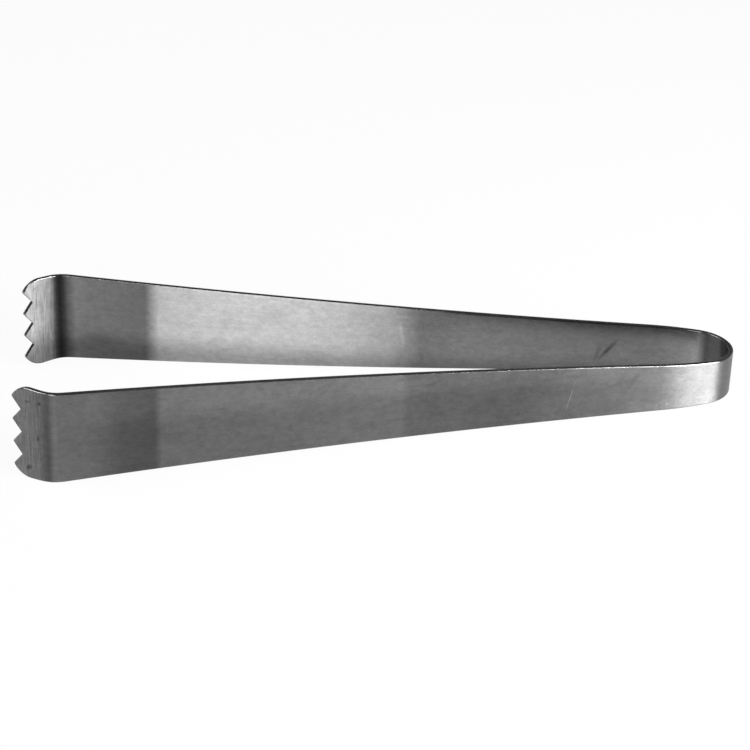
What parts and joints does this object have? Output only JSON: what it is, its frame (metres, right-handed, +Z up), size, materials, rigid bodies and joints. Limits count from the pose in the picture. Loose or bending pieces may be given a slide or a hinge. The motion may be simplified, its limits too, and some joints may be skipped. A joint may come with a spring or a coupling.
{
  "type": "ice tongs",
  "caption": "One-piece spring ice tongs: a tapered steel strip folded at the bow, with flared arms ending in inward-bent toothed claws",
  "frame": {"origin": "on the table under the middle of the overall box", "axes": "+X toward the folded bow, claws at -X, +Y toward the back arm, +Z up"},
  "size_m": [0.1786, 0.0654, 0.024],
  "materials": {
    "stainless_strip": "fine lengthwise satin brushing with light handling marks"
  },
  "bodies": {
    "bow": {"bow": "stainless_strip"},
    "back_shoulder": {"shoulder_back": "stainless_strip", "arm_root_back": "stainless_strip"},
    "front_shoulder": {"shoulder_front": "stainless_strip", "arm_root_front": "stainless_strip"},
    "back_arm": {"arm_back": "stainless_strip", "claw_bend_back": "stainless_strip", "claw_back": "stainless_strip"},
    "front_arm": {"arm_front": "stainless_strip", "claw_bend_front": "stainless_strip", "claw_front": "stainless_strip"}
  },
  "joints": [
    {"name": "back_squeeze", "type": "hinge", "parent": "bow", "child": "back_shoulder", "pos_m": [0.08212, 0.00854, 0.00578], "axis": [0.0372, 0, 0.9993], "range_deg": [0, 4.05], "stiffness_Nm_per_rad": 15},
    {"name": "front_squeeze", "type": "hinge", "parent": "bow", "child": "front_shoulder", "pos_m": [0.08212, -0.00854, 0.00578], "axis": [-0.0372, 0, -0.9993], "range_deg": [0, 4.05], "stiffness_Nm_per_rad": 15},
    {"name": "back_arm_flex", "type": "hinge", "parent": "back_shoulder", "child": "back_arm", "pos_m": [0.04445, 0.01346, 0.00719], "axis": [0.0372, 0, 0.9993], "range_deg": [0, 6.08], "stiffness_Nm_per_rad": 6},
    {"name": "front_arm_flex", "type": "hinge", "parent": "front_shoulder", "child": "front_arm", "pos_m": [0.04445, -0.01346, 0.00719], "axis": [-0.0372, 0, -0.9993], "range_deg": [0, 6.08], "stiffness_Nm_per_rad": 6}
  ],
  "couplings": [
    {"joint": "front_squeeze", "follows": "back_squeeze", "ratio": 1},
    {"joint": "back_arm_flex", "follows": "back_squeeze", "ratio": 1.5},
    {"joint": "front_arm_flex", "follows": "back_squeeze", "ratio": 1.5}
  ]
}
